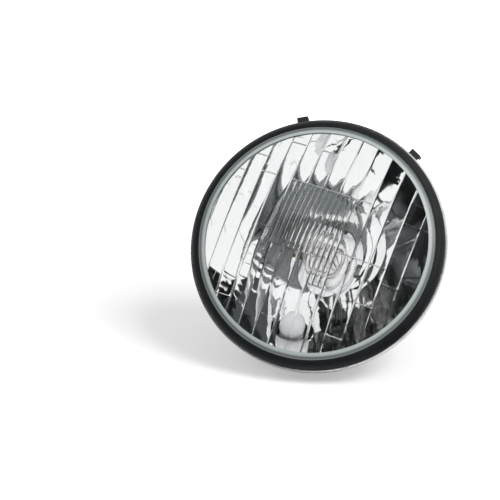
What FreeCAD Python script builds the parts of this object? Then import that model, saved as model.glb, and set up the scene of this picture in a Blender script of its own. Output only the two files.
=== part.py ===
import FreeCAD
import Part
import math
import os
import Sketcher

# Round scooter headlight. Origin on the optical axis in the flange's front plane.
# The lamp shines along -Y, its back is +Y, +Z is up. Millimetres and degrees.

SIZES = [
    # rim stack, from the gasket's outside inwards
    ("gasket_radius", 70),
    ("gasket_width", 3.45),
    ("gasket_wall", 1.8),
    ("gasket_lip", 1.1),
    ("gasket_lip_gauge", 0.68),
    ("gasket_crown", 5),
    ("fit_gap", 0.05),
    # reflector
    ("flange_margin", 1),
    ("sheet_gauge", 0.8),
    ("hem_depth", 3),
    ("focal_length", 20),
    ("wall_shift", 1.2),
    ("neck_room", 6),
    ("neck_tail", 1),
    ("pilot_margin", 4),
    ("pilot_tilt", 30),
    ("pilot_radius", 11),
    ("pilot_collar", 8),
    # lens and seal
    ("lens_rim_width", 4.5),
    ("lens_rim_height", 3.92),
    ("dome_radius", 216.25),
    ("lens_wall", 4),
    ("seal_gauge", 0.6),
    ("seal_margin", 0.25),
    ("flute_margin", 0.7),
    ("flute_pitch", 9.4),
    ("flute_depth", 0.5),
    ("fine_flute_depth", 0.2),
    ("flute_land", 0.5),
    # lugs and adjuster
    ("lug_angle", 27.3),
    ("lug_width", 6.2),
    ("lug_gauge", 1.4),
    ("lug_reach", 3.2),
    ("lug_fold", 4.7),
    ("lug_foot", 5.5),
    ("notch_play", 0.2),
    ("shelf_gap", 4),
    ("bracket_margin", 0.8),
    ("bracket_width", 14),
    ("bracket_length", 15.2),
    ("nut_back", 9.1),
    ("nut_bore_radius", 2.5),
    ("screw_play", 0.5),
    ("nut_size", 5.6),
    ("nut_height", 4.2),
    # bulb holder
    ("neck_fit", 0.4),
    ("slide_gap", 0.1),
    ("ring_gauge", 0.8),
    ("ring_insert", 4),
    ("ring_skirt", 3),
    ("ring_socket", 6),
    ("ring_notch_radius", 2),
    ("rivet_inset", 2.5),
    ("rivet_head_radius", 1.9),
    ("rivet_shank_radius", 1.2),
    ("rivet_grip", 2),
    ("rivet_play", 0.3),
    ("cup_lap", 1),
    ("cup_depth", 12),
    ("block_half_width", 34),
    ("block_foot", 7),
    ("block_top", 26),
    ("block_step", 5),
    ("block_step_half", 20),
    ("block_depth", 7),
    ("block_corner", 4),
    ("boss_radius", 15),
    ("boss_height", 3),
    ("boss_chamfer", 1),
    ("clip_width", 8),
    ("clip_gauge", 0.6),
    ("clip_tab_gap", 1),
    ("clip_hook", 6),
    ("clip_play", 0.2),
    ("hook_reach", 1),
    ("pocket_depth", 1.2),
    ("eyelet_radius", 3.65),
    ("eyelet_bore_radius", 1.75),
    ("eyelet_shank_radius", 2.2),
    ("eyelet_edge", 8),
    ("eyelet_flange", 0.7),
    ("eyelet_roll", 0.6),
    ("eyelet_roll_inset", 0.3),
    ("recess_room", 0.7),
    ("recess_depth", 1),
    ("outer_eyelet_z", 16),
    ("inner_eyelet_x", 13.8),
    ("inner_eyelet_z", 22.6),
    ("blade_width", 6.3),
    ("blade_gauge", 0.8),
    ("blade_length", 8.5),
    ("tab_margin", 0.5),
    ("tab_rise", 4),
    ("contact_width", 4),
    ("contact_gauge", 0.5),
    ("leaf_foot", 9.5),
    ("leaf_bend", 4),
    ("leaf_tip", 5),
    ("contact_spread", 4.5),
    ("pad_radius", 1.6),
    ("pad_height", 1),
    ("pad_rise", 2.5),
    # pilot holder
    ("strip_width", 15.7),
    ("strip_gauge", 1),
    ("strip_margin", 0.5),
    ("strip_bend", 1.6),
    ("strip_eyelet_bore", 0.9),
    ("strip_eyelet_radius", 1.6),
    ("strip_eyelet_head", 2.95),
    ("strip_eyelet_reach", 4),
    ("loop_radius", 2.3),
    ("loop_bore", 1.2),
    ("loop_offset", 1.6),
    ("fork_room", 0.4),
    ("fork_play", 0.6),
    ("pilot_ring_radius", 14.65),
    ("pilot_fit", 0.6),
    ("pin_radius", 1),
    ("pin_play", 0.2),
    ("pin_reach", 1.3),
    ("pin_depth", 2.5),
    ("pilot_ring_depth", 5),
    ("pilot_spigot", 3),
    ("spigot_play", 0.2),
    ("pilot_chamfer", 0.8),
    ("key_width", 3.5),
    ("tongue_width", 7.7),
    ("tongue_tip", 2.6),
    ("tongue_gap", 0.2),
    ("tongue_bend", 0.6),
    ("tongue_rivet_radius", 1.25),
    ("tongue_rivet_head", 1.7),
    ("tongue_rivet_crown", 0.8),
    ("tongue_rivet_grip", 4),
    # bulbs
    ("bulb_radius", 13),
    ("bulb_neck_radius", 8.5),
    ("bulb_base_radius", 10),
    ("bulb_base_length", 12.1),
    ("bulb_fit", 2),
    ("bulb_collar_width", 2.5),
    ("bulb_collar_gauge", 1),
    ("base_chamfer", 1),
    ("glass_gauge", 0.6),
    ("coil_radius", 0.6),
    ("lead_radius", 0.35),
    ("main_coil_half", 3),
    ("main_coil_drop", 1.5),
    ("dip_coil_half", 3.4),
    ("dip_coil_rise", 2),
    ("dip_coil_lead", 5),
    ("pilot_base_radius", 7.6),
    ("pilot_base_front", 8),
    ("pilot_base_rear", 5),
    ("pilot_globe_gap", 6.5),
    ("pilot_tip_radius", 2.2),
    ("pilot_tip", 1.2),
    ("pilot_glass_radius", 7.8),
    ("pilot_neck_radius", 6.2),
    ("pilot_coil_radius", 0.45),
    ("pilot_lead_radius", 0.3),
    ("pilot_coil_half", 2.2),
]


class Dim:
    """A length that carries its value and the expression that FreeCAD recomputes it from."""

    def __init__(self, value, text):
        self.value = value
        self.text = text

    def __add__(self, other):
        return join(self, "+", other, self.value + dim(other).value)

    def __radd__(self, other):
        return dim(other) + self

    def __sub__(self, other):
        return join(self, "-", other, self.value - dim(other).value)

    def __rsub__(self, other):
        return dim(other) - self

    def __mul__(self, other):
        return join(self, "*", other, self.value * dim(other).value)

    def __rmul__(self, other):
        return dim(other) * self

    def __truediv__(self, other):
        return join(self, "/", other, self.value / dim(other).value)

    def __rtruediv__(self, other):
        return dim(other) / self

    def __neg__(self):
        return Dim(-self.value, "(0 - " + self.text + ")")


def dim(number):
    return number if isinstance(number, Dim) else Dim(float(number), repr(float(number)))


def join(left, sign, right, value):
    return Dim(value, "(" + left.text + " " + sign + " " + dim(right).text + ")")


def root(length):
    return Dim(math.sqrt(length.value), "sqrt(" + length.text + ")")


def square(length):
    return dim(length) * dim(length)


def sine(angle):
    return Dim(math.sin(math.radians(angle.value)), "sin(" + angle.text + ")")


def cosine(angle):
    return Dim(math.cos(math.radians(angle.value)), "cos(" + angle.text + ")")


doc = FreeCAD.newDocument("headlight")
sheet = doc.addObject("Spreadsheet::Sheet", "sizes")
for row, (alias, number) in enumerate(SIZES, 1):
    sheet.set("A%d" % row, alias)
    sheet.set("B%d" % row, str(number))
    sheet.setAlias("B%d" % row, alias)
doc.recompute()


def size(alias):
    return Dim(float(sheet.get(alias)), "sizes." + alias)


class Frame:
    """A place to build in: a point, and a turn about X (tilts back) or about Y (spins)."""

    def __init__(self, x=0, y=0, z=0, tilt=None, spin=None):
        self.x, self.y, self.z = dim(x), dim(y), dim(z)
        self.tilt = tilt
        self.spin = spin

    def point(self, back, up):
        """The lamp's y and z of a point in this frame's own back and up directions."""
        if self.tilt is None:
            return self.y + back, self.z + up
        y = self.y + dim(back) * cosine(self.tilt) + dim(up) * sine(self.tilt)
        z = self.z - dim(back) * sine(self.tilt) + dim(up) * cosine(self.tilt)
        return y, z


LAMP = Frame()


def place(item, frame, turn=0):
    """Puts an object in a frame; turn is an extra fixed angle about X."""
    if frame.spin is not None:
        axis, angle = FreeCAD.Vector(0, 1, 0), frame.spin
    elif frame.tilt is not None:
        axis, angle = FreeCAD.Vector(1, 0, 0), turn - frame.tilt
    else:
        axis, angle = FreeCAD.Vector(1, 0, 0), dim(turn)
    spot = FreeCAD.Vector(frame.x.value, frame.y.value, frame.z.value)
    item.Placement = FreeCAD.Placement(spot, FreeCAD.Rotation(axis, angle.value))
    item.setExpression("Placement.Base.x", frame.x.text)
    item.setExpression("Placement.Base.y", frame.y.text)
    item.setExpression("Placement.Base.z", frame.z.text)
    if "sizes." in angle.text:
        item.setExpression("Placement.Rotation.Angle", angle.text)


def set_size(item, name, length):
    setattr(item, name, dim(length).value)
    if "sizes." in dim(length).text:
        item.setExpression(name, length.text)


def arc_centre(start, end, radius):
    """The centre of an arc from start to end; a negative radius puts it on the other side."""
    middle = (start + end) * 0.5
    half = (end - start).Length / 2
    across = FreeCAD.Vector(-(end - start).y, (end - start).x, 0).normalize()
    rise = math.sqrt(max(radius * radius - half * half, 0.0))
    return middle + across * math.copysign(rise, radius)


def draw(sketch, outline):
    """Draws a closed outline. Each corner is (u, v), or (u, v, arc radius to the next corner, side).

    Every corner's two distances and every arc's radius are bound to the sheet.
    """
    corners = [FreeCAD.Vector(dim(c[0]).value, dim(c[1]).value, 0) for c in outline]
    starts = []
    ends = []
    for index, corner in enumerate(outline):
        start = corners[index]
        end = corners[(index + 1) % len(corners)]
        if len(corner) == 2:
            sketch.addGeometry(Part.LineSegment(start, end), False)
            starts.append(1)
            ends.append(2)
            continue
        radius = dim(corner[2]).value
        side = corner[3]
        centre = arc_centre(start, end, radius * side)
        circle = Part.Circle(centre, FreeCAD.Vector(0, 0, 1), radius)
        angle_start = math.atan2(start.y - centre.y, start.x - centre.x)
        angle_end = math.atan2(end.y - centre.y, end.x - centre.x)
        if side > 0:
            sketch.addGeometry(Part.ArcOfCircle(circle, angle_start, angle_end), False)
            starts.append(1)
            ends.append(2)
        else:
            sketch.addGeometry(Part.ArcOfCircle(circle, angle_end, angle_start), False)
            starts.append(2)
            ends.append(1)
    count = len(outline)
    for index in range(count):
        after = (index + 1) % count
        sketch.addConstraint(Sketcher.Constraint("Coincident", index, ends[index], after, starts[after]))
    for index, corner in enumerate(outline):
        for kind, length in (("DistanceX", dim(corner[0])), ("DistanceY", dim(corner[1]))):
            rule = Sketcher.Constraint(kind, -1, 1, index, starts[index], length.value)
            number = sketch.addConstraint(rule)
            if "sizes." in length.text:
                sketch.setExpression("Constraints[%d]" % number, length.text)
        if len(corner) > 2:
            rule = Sketcher.Constraint("Radius", index, dim(corner[2]).value)
            number = sketch.addConstraint(rule)
            sketch.setExpression("Constraints[%d]" % number, corner[2].text)


def new_sketch(body, plane, outline):
    sketch = body.newObject("Sketcher::SketchObject", body.Name + "_sketch")
    support = [item for item in body.Origin.OriginFeatures if item.Role == plane][0]
    sketch.AttachmentSupport = [(support, "")]
    sketch.MapMode = "FlatFace"
    draw(sketch, outline)
    return sketch


def turned(name, outline, frame=LAMP):
    """A body turned about the frame's Y axis from an outline of (radius, back)."""
    body = doc.addObject("PartDesign::Body", name)
    sketch = new_sketch(body, "XY_Plane", outline)
    turn = body.newObject("PartDesign::Revolution", name + "_turn")
    turn.Profile = sketch
    turn.ReferenceAxis = (sketch, ["V_Axis"])
    turn.Angle = 360
    body.Tip = turn
    place(body, frame)
    return body


def padded(name, plane, outline, length, frame=LAMP):
    """A body padded from an outline: both ways from YZ and XY, backwards from XZ."""
    body = doc.addObject("PartDesign::Body", name)
    sketch = new_sketch(body, plane, outline)
    pad = body.newObject("PartDesign::Pad", name + "_pad")
    pad.Profile = sketch
    set_size(pad, "Length", length)
    if plane == "XZ_Plane":
        pad.Reversed = True
    else:
        pad.SideType = "Symmetric"
    body.Tip = pad
    place(body, frame)
    return body


def rod(name, radius, length, frame=LAMP):
    """A cylinder along the frame's Y axis."""
    item = doc.addObject("Part::Cylinder", name)
    set_size(item, "Radius", radius)
    set_size(item, "Height", length)
    place(item, frame, -90)
    return item


def cross_rod(name, radius, length, x, y, z):
    """A cylinder along X, centred on x."""
    item = doc.addObject("Part::Cylinder", name)
    set_size(item, "Radius", radius)
    set_size(item, "Height", length)
    spot = FreeCAD.Vector(dim(x).value - dim(length).value / 2, dim(y).value, dim(z).value)
    item.Placement = FreeCAD.Placement(spot, FreeCAD.Rotation(FreeCAD.Vector(0, 1, 0), 90))
    item.setExpression("Placement.Base.x", (dim(x) - dim(length) / 2).text)
    item.setExpression("Placement.Base.y", dim(y).text)
    item.setExpression("Placement.Base.z", dim(z).text)
    return item


def block(name, x, y, z, wide, deep, high):
    item = doc.addObject("Part::Box", name)
    set_size(item, "Length", wide)
    set_size(item, "Width", deep)
    set_size(item, "Height", high)
    place(item, Frame(x, y, z))
    return item


def fused(name, *items):
    item = doc.addObject("Part::MultiFuse", name)
    item.Shapes = list(items)
    return item


def cut(name, base, *tools):
    item = doc.addObject("Part::Cut", name)
    item.Base = base
    item.Tool = tools[0] if len(tools) == 1 else fused(name + "_tools", *tools)
    return item


parts = {}


def keep(label, item):
    item.Label = label
    parts[label] = item


fit_gap = size("fit_gap")
gasket_radius = size("gasket_radius")
flange_radius = gasket_radius + size("flange_margin")
gasket_inner = gasket_radius - size("gasket_width")
lens_radius = gasket_inner - fit_gap
rim_inner = lens_radius - size("lens_rim_width")
reflector_radius = rim_inner
sheet_gauge = size("sheet_gauge")
hem_depth = size("hem_depth")
focal_length = size("focal_length")
base_radius = size("bulb_base_radius")
ring_bore = base_radius + size("bulb_fit")
collar_radius = ring_bore + size("bulb_collar_width")
neck_radius = collar_radius + size("neck_room")
vertex = square(reflector_radius) / (4 * focal_length)
neck_end = vertex + size("neck_tail")

# Lens
seal_gauge = size("seal_gauge")
lens_wall = size("lens_wall")
dome_radius = size("dome_radius")
lens_shoulder = -seal_gauge - size("lens_rim_height")
dome_centre = lens_shoulder + root(square(dome_radius) - square(lens_radius))
lens_front = dome_centre - dome_radius
inner_radius = dome_radius - lens_wall


def dome(radius):
    return dome_centre - root(square(dome_radius) - square(radius))


def inner_dome(radius):
    return dome_centre - root(square(inner_radius) - square(radius))


lens_blank = turned("lens_blank", [
    (dim(0), lens_front, dome_radius, 1),
    (lens_radius, lens_shoulder),
    (lens_radius, -seal_gauge),
    (rim_inner, -seal_gauge),
    (rim_inner, inner_dome(rim_inner), inner_radius, -1),
    (dim(0), lens_front + lens_wall),
])

# Rows of each flute column: heights of the steps between them, from the top down.
pitch = size("flute_pitch")
land = size("flute_land")
STEPS = {
    -6: [26],
    -5: [37],
    -4: [28, -43.5],
    -3: [49, -1.5],
    -2: [28, -9],
    -1: [49, 28, -9],
    0: [28, -9],
    1: [28, -24],
    2: [28, -3, -24],
    3: [-3, -46],
    4: [-3, -25],
    5: [36, 24, -11],
    6: [24, -5],
}
FINE_ROWS = {-2: 1, -1: 2, 0: 1, 1: 1}


def flute(name, middle, width, depth, high, low):
    """A ring, boxed to one cell of the pattern, that presses a hollow flute into the inner dome."""
    half = (width - land) / 2
    tool_radius = (square(half) + square(depth)) / (2 * depth)
    reach = root(square(inner_radius) - square(middle))
    inset = 1 + (depth - tool_radius) / inner_radius
    ring = doc.addObject("Part::Torus", name + "_ring")
    set_size(ring, "Radius1", reach * inset)
    set_size(ring, "Radius2", tool_radius)
    spot = FreeCAD.Vector((middle * inset).value, dome_centre.value, 0)
    ring.Placement = FreeCAD.Placement(spot, FreeCAD.Rotation(FreeCAD.Vector(0, 1, 0), 90))
    ring.setExpression("Placement.Base.x", (middle * inset).text)
    ring.setExpression("Placement.Base.y", dome_centre.text)
    cell_width = width - land / 2
    cell_height = high - low - land
    cell_at = (middle - cell_width / 2, lens_front, low + land / 2)
    cell = block(name + "_cell", *cell_at, cell_width, -lens_front, cell_height)
    item = doc.addObject("Part::Common", name)
    item.Base = ring
    item.Tool = cell
    return item


flutes = []
flute_zone = rim_inner - size("flute_margin")
zone = flute_zone.value
for column, steps in STEPS.items():
    near = max(abs(column) - 0.5, 0) * pitch.value
    if near + land.value >= zone:
        continue
    end = math.sqrt(zone * zone - near * near) + 2 * land.value
    heights = [end] + [step for step in steps if abs(step) < end - 4 * land.value] + [-end]
    for row in range(len(heights) - 1):
        tag = "flute_%d_%d" % (column + 6, row)
        if FINE_ROWS.get(column) == row:
            for third in (-1, 0, 1):
                middle = column * pitch + third * pitch / 3
                args = (middle, pitch / 3, size("fine_flute_depth"))
                third_tag = tag + "_%d" % (third + 1)
                flutes.append(flute(third_tag, *args, heights[row], heights[row + 1]))
            continue
        args = (column * pitch, pitch, size("flute_depth"))
        flutes.append(flute(tag, *args, heights[row], heights[row + 1]))
flute_tools = doc.addObject("Part::Compound", "flute_tools")
flute_tools.Links = flutes
bound_front = lens_front - lens_wall
flute_bound = rod("flute_bound", flute_zone, -bound_front, Frame(0, bound_front, 0))
flute_set = doc.addObject("Part::Common", "flute_set")
flute_set.Base = flute_tools
flute_set.Tool = flute_bound
keep("lens", cut("lens", lens_blank, flute_set))

# Seal and gasket
seal_margin = size("seal_margin")
keep("lens_seal", turned("lens_seal", [
    (rim_inner + seal_margin, -seal_gauge),
    (lens_radius - seal_margin, -seal_gauge),
    (lens_radius - seal_margin, dim(0)),
    (rim_inner + seal_margin, dim(0)),
]))
lip_radius = lens_radius - size("gasket_lip")
lip_back = dome(lip_radius) - fit_gap
keep("rim_gasket", turned("rim_gasket", [
    (gasket_inner, dim(0)),
    (gasket_inner, lens_shoulder - fit_gap),
    (lip_radius, lip_back),
    (lip_radius, lip_back - size("gasket_lip_gauge"), size("gasket_crown"), 1),
    (gasket_radius, -size("gasket_wall")),
    (gasket_radius, dim(0)),
]))


# Reflector: a drawn sheet of parabolic section, which no sketch draws, so its shape is set here
PARABOLA_POINTS = 12


def parabola(shift, inner, outer):
    spots = []
    for index in range(PARABOLA_POINTS + 1):
        radius = inner + (outer - inner) * index / PARABOLA_POINTS
        depth = vertex.value + shift - radius * radius / (4 * focal_length.value)
        spots.append(FreeCAD.Vector(radius, depth, 0))
    curve = Part.BSplineCurve()
    curve.interpolate(spots)
    return curve.toShape()


def revolve_wire(edges):
    face = Part.Face(Part.Wire(Part.__sortEdges__(edges)))
    return face.revolve(FreeCAD.Vector(0, 0, 0), FreeCAD.Vector(0, 1, 0), 360)


def lines(points):
    spots = [FreeCAD.Vector(r, y, 0) for r, y in points]
    return [Part.makeLine(a, b) for a, b in zip(spots, spots[1:])]


def bowl_shape():
    focal4 = 4 * focal_length.value
    back = vertex.value + size("wall_shift").value
    rim = reflector_radius.value
    neck = neck_radius.value
    gauge = sheet_gauge.value
    hem = gauge + hem_depth.value
    edge = flange_radius.value
    shoulder = math.sqrt(focal4 * (back - gauge))
    outline = lines([
        (rim, 0),
        (edge, 0),
        (edge, hem),
        (edge - gauge, hem),
        (edge - gauge, gauge),
        (shoulder, gauge),
    ])
    outline += lines([
        (neck + gauge, back - (neck + gauge) ** 2 / focal4),
        (neck + gauge, neck_end.value),
        (neck, neck_end.value),
        (neck, vertex.value - neck ** 2 / focal4),
    ])
    outline.append(parabola(size("wall_shift").value, neck + gauge, shoulder))
    outline.append(parabola(0, neck, rim))
    return revolve_wire(outline)


def space_shape():
    rim = reflector_radius.value
    outline = lines([(0, vertex.value), (0, 0), (rim, 0)])
    outline.append(parabola(0, 0, rim))
    return revolve_wire(outline)


bowl = doc.addObject("Part::Feature", "bowl")
bowl.Shape = bowl_shape()
bowl_space = doc.addObject("Part::Feature", "bowl_space")
bowl_space.Shape = space_shape()

pilot_radius = size("pilot_radius")
pilot_drop = reflector_radius - pilot_radius - size("pilot_margin")
pilot_collar = size("pilot_collar")
seat_y = vertex - square(pilot_drop) / (4 * focal_length)
PILOT = Frame(0, seat_y, -pilot_drop, tilt=size("pilot_tilt"))


def pilot_at(back, up=0, x=0):
    y, z = PILOT.point(back, up)
    return Frame(x, y, z, tilt=size("pilot_tilt"))


tube_length = pilot_collar + pilot_radius
collar_tube = rod("collar_tube", pilot_radius + sheet_gauge, tube_length, pilot_at(-pilot_radius))
collar = cut("collar", collar_tube, bowl_space)
pilot_hole = rod("pilot_hole", pilot_radius, 2 * tube_length, pilot_at(-2 * pilot_radius))
lug_angle = size("lug_angle")
lug_width = size("lug_width")
notch_width = lug_width + 2 * size("notch_play")
notch_outline = [
    (sheet_gauge, flange_radius - 2 * sheet_gauge),
    (sheet_gauge + 2 * hem_depth, flange_radius - 2 * sheet_gauge),
    (sheet_gauge + 2 * hem_depth, flange_radius + hem_depth),
    (sheet_gauge, flange_radius + hem_depth),
]
notches = [
    padded("notch_left", "YZ_Plane", notch_outline, notch_width, Frame(spin=-lug_angle)),
    padded("notch_right", "YZ_Plane", notch_outline, notch_width, Frame(spin=lug_angle)),
]
face_y = neck_end - size("ring_insert")
clip_width = size("clip_width")
clip_gauge = size("clip_gauge")
slot_front = face_y - clip_gauge - 3 * fit_gap
clip_play = size("clip_play")
slot_width = clip_width + 2 * clip_play
slot_at = (-2 * neck_radius, slot_front, -slot_width / 2)
clip_slot = block("clip_slot", *slot_at, 4 * neck_radius, 2 * size("ring_insert"), slot_width)
bowl_collar = fused("bowl_collar", bowl, collar)
keep("reflector", cut("reflector", bowl_collar, pilot_hole, *notches, clip_slot))

# Lugs at the top, adjuster bracket and nut at the bottom, all on the flange's back
lug_gauge = size("lug_gauge")
lug_back = sheet_gauge + lug_gauge
lug_top = flange_radius + size("lug_reach")
lug_outline = [
    (sheet_gauge, flange_radius - size("lug_foot")),
    (lug_back, flange_radius - size("lug_foot")),
    (lug_back, lug_top - lug_gauge),
    (sheet_gauge + size("lug_fold"), lug_top - lug_gauge),
    (sheet_gauge + size("lug_fold"), lug_top),
    (sheet_gauge, lug_top),
]
keep("top_lug_left", padded("top_lug_left", "YZ_Plane", lug_outline, lug_width, Frame(spin=-lug_angle)))
keep("top_lug_right", padded("top_lug_right", "YZ_Plane", lug_outline, lug_width, Frame(spin=lug_angle)))

shelf_z = -(reflector_radius + size("shelf_gap"))
plate_end = -(flange_radius - sheet_gauge - size("bracket_margin"))
shelf_top = shelf_z + lug_gauge
bracket_end = sheet_gauge + size("bracket_length")
nut_y = sheet_gauge + size("nut_back")
bracket_plate = padded("bracket_plate", "YZ_Plane", [
    (sheet_gauge, plate_end),
    (lug_back, plate_end),
    (lug_back, shelf_z),
    (bracket_end, shelf_z),
    (bracket_end, shelf_top),
    (sheet_gauge, shelf_top),
], size("bracket_width"))
DOWN = dim(90)
nut_bore = size("nut_bore_radius")
nut_height = size("nut_height")
hole_top = shelf_top + nut_height
screw_at = Frame(0, nut_y, hole_top, tilt=DOWN)
screw_hole = rod("screw_hole", nut_bore + size("screw_play"), 3 * nut_height, screw_at)
keep("adjuster_bracket", cut("adjuster_bracket", bracket_plate, screw_hole))
nut_hex = doc.addObject("Part::Prism", "nut_hex")
nut_hex.Polygon = 6
set_size(nut_hex, "Circumradius", size("nut_size"))
set_size(nut_hex, "Height", nut_height)
place(nut_hex, Frame(0, nut_y, shelf_top))
nut_thread = rod("nut_thread", nut_bore, 3 * nut_height, Frame(0, nut_y, hole_top + nut_height, tilt=DOWN))
keep("adjuster_nut", cut("adjuster_nut", nut_hex, nut_thread))

# Ring at the front of the bulb holder
ring_radius = neck_radius - size("neck_fit")
ring_gauge = size("ring_gauge")
ring_back = face_y + ring_gauge
ring_body = turned("ring_body", [
    (ring_bore, face_y),
    (ring_radius, face_y),
    (ring_radius, face_y + size("ring_skirt")),
    (ring_radius - ring_gauge, face_y + size("ring_skirt")),
    (ring_radius - ring_gauge, ring_back),
    (ring_bore + ring_gauge, ring_back),
    (ring_bore + ring_gauge, face_y + size("ring_socket")),
    (ring_bore, face_y + size("ring_socket")),
])
rivet_span = ring_radius - size("rivet_inset")
shank = size("rivet_shank_radius")
notch_at = Frame(0, face_y - ring_gauge, ring_radius)
ring_notch = rod("ring_notch", size("ring_notch_radius"), 2 * size("ring_skirt"), notch_at)
ring_holes = [
    rod("ring_hole_left", shank + fit_gap, 3 * ring_gauge, Frame(-rivet_span, face_y - ring_gauge, 0)),
    rod("ring_hole_right", shank + fit_gap, 3 * ring_gauge, Frame(rivet_span, face_y - ring_gauge, 0)),
]
keep("holder_ring", cut("holder_ring", ring_body, ring_notch, *ring_holes))
rivet_head = size("rivet_head_radius")
rivet_grip = size("rivet_grip")
rivet_outline = [
    (dim(0), -rivet_head * 0.75),
    (rivet_head * 0.7, -rivet_head * 0.6),
    (rivet_head, -rivet_head * 0.25),
    (rivet_head, dim(0)),
    (shank, dim(0)),
    (shank, ring_gauge + rivet_grip),
    (dim(0), ring_gauge + rivet_grip),
]
for side, sign in (("left", -1), ("right", 1)):
    name = "ring_rivet_" + side
    keep(name, turned(name, rivet_outline, Frame(sign * rivet_span, face_y, 0)))

# Spring clips: a tab over the ring's face, an arm along the cup, a hook into the cup
cup_radius = neck_radius + size("cup_lap")
arm_inner = cup_radius + fit_gap
arm_outer = arm_inner + clip_gauge
tab_end = collar_radius + size("clip_tab_gap")
tab_front = face_y - clip_gauge - fit_gap
tab_back = face_y - fit_gap
hook_front = neck_end + size("clip_hook")
hook_end = cup_radius - size("hook_reach")
for side, sign in (("left", -1), ("right", 1)):
    name = "neck_clip_" + side
    strip = padded(name + "_strip", "XY_Plane", [
        (sign * tab_end, tab_front),
        (sign * arm_outer, tab_front),
        (sign * arm_outer, hook_front + clip_gauge),
        (sign * hook_end, hook_front + clip_gauge),
        (sign * hook_end, hook_front),
        (sign * arm_inner, hook_front),
        (sign * arm_inner, tab_back),
        (sign * tab_end, tab_back),
    ], clip_width)
    hole_at = Frame(sign * rivet_span, tab_front - clip_gauge, 0)
    head_hole = rod(name + "_hole", rivet_head + size("rivet_play"), 3 * clip_gauge, hole_at)
    keep(name, cut(name, strip, head_hole))

# Moulded bulb holder: cup and spigot in front, wide block behind
block_y = neck_end + size("cup_depth")
block_depth = size("block_depth")
block_back = block_y + block_depth
cavity = ring_bore + ring_gauge + size("slide_gap")
spigot = ring_radius - ring_gauge - size("slide_gap")
cup = turned("cup", [
    (cavity, ring_back),
    (spigot, ring_back),
    (spigot, neck_end),
    (cup_radius, neck_end),
    (cup_radius, block_back),
    (dim(0), block_back),
    (dim(0), block_y),
    (cavity, block_y),
])
wide = size("block_half_width")
foot = size("block_foot")
wing = -size("block_top")
step = wing - size("block_step")
step_half = size("block_step_half")
corner = size("block_corner")
plate = padded("plate", "XZ_Plane", [
    (-wide, wing),
    (-step_half, wing),
    (-step_half, step),
    (step_half, step),
    (step_half, wing),
    (wide, wing),
    (wide, foot),
    (corner - wide, foot),
    (corner - wide, dim(0)),
    (-wide, -corner),
], block_depth, Frame(0, block_y, 0))
boss_radius = size("boss_radius")
boss_back = block_back + size("boss_height")
boss = turned("boss", [
    (dim(0), block_back),
    (boss_radius, block_back),
    (boss_radius, boss_back - size("boss_chamfer")),
    (boss_radius - size("boss_chamfer"), boss_back),
    (dim(0), boss_back),
])
EYELETS = [
    ("outer_left", size("eyelet_edge") - wide, -size("outer_eyelet_z")),
    ("outer_right", wide - size("eyelet_edge"), -size("outer_eyelet_z")),
    ("inner_left", -size("inner_eyelet_x"), -size("inner_eyelet_z")),
    ("inner_right", size("inner_eyelet_x"), -size("inner_eyelet_z")),
]
eyelet_shank = size("eyelet_shank_radius")
eyelet_radius = size("eyelet_radius")
recess_depth = size("recess_depth")
holder_tools = []
for tag, x, z in EYELETS:
    front = Frame(x, block_y - recess_depth, z)
    through = rod("through_" + tag, eyelet_shank + fit_gap, block_depth + 2 * recess_depth, front)
    recess = rod("recess_" + tag, eyelet_radius + size("recess_room"), 2 * recess_depth, front)
    holder_tools += [through, recess]
for side, sign in (("left", -1), ("right", 1)):
    seat_at = Frame(sign * rivet_span, ring_back - rivet_grip, 0)
    holder_tools.append(rod("rivet_seat_" + side, shank + fit_gap, 2 * rivet_grip + fit_gap, seat_at))
pocket_depth = size("pocket_depth")
pocket_high = clip_gauge + 2 * clip_play
for side, x in (("left", -cup_radius - pocket_depth), ("right", cup_radius - pocket_depth)):
    pocket_at = (x, hook_front - clip_play, -slot_width / 2)
    holder_tools.append(block("pocket_" + side, *pocket_at, 2 * pocket_depth, pocket_high, slot_width))
gauge = size("strip_gauge")
strip_shank = size("strip_eyelet_radius")
strip_reach = size("strip_eyelet_reach")
pin_y = block_y + block_depth / 2
pin_at = Frame(0, pin_y, step + strip_reach + gauge / 2, tilt=DOWN)
pin_seat = rod("pin_seat", strip_shank + fit_gap, strip_reach + gauge, pin_at)
holder_tools.append(pin_seat)
keep("holder_body", cut("holder_body", fused("moulding", cup, plate, boss), *holder_tools))

# Brass eyelets and spade terminals
blade_gauge = size("blade_gauge")
recess_floor = block_y + recess_depth
eyelet_bore = size("eyelet_bore_radius")
eyelet_roll = size("eyelet_roll")
roll_radius = eyelet_radius - size("eyelet_roll_inset")
eyelet_outline = [
    (eyelet_bore, recess_floor - size("eyelet_flange")),
    (eyelet_radius, recess_floor - size("eyelet_flange")),
    (eyelet_radius, recess_floor),
    (eyelet_shank, recess_floor),
    (eyelet_shank, block_back + blade_gauge),
    (roll_radius, block_back + blade_gauge),
    (roll_radius, block_back + blade_gauge + eyelet_roll),
    (eyelet_bore, block_back + blade_gauge + eyelet_roll),
]
tab_foot = -eyelet_radius - size("tab_margin")
tab_top = eyelet_radius + size("tab_rise")
blade_end = blade_gauge + size("blade_length")
for tag, x, z in EYELETS:
    keep("eyelet_" + tag, turned("eyelet_" + tag, eyelet_outline, Frame(x, 0, z)))
    tab = padded("tab_" + tag, "YZ_Plane", [
        (dim(0), tab_foot),
        (blade_gauge, tab_foot),
        (blade_gauge, tab_top),
        (blade_end, tab_top),
        (blade_end, tab_top + blade_gauge),
        (dim(0), tab_top + blade_gauge),
    ], size("blade_width"), Frame(x, block_back, z))
    hole_at = Frame(x, block_back - blade_gauge, z)
    tab_hole = rod("tab_hole_" + tag, eyelet_shank + fit_gap, 3 * blade_gauge, hole_at)
    keep("terminal_" + tag, cut("terminal_" + tag, tab, tab_hole))

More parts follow.
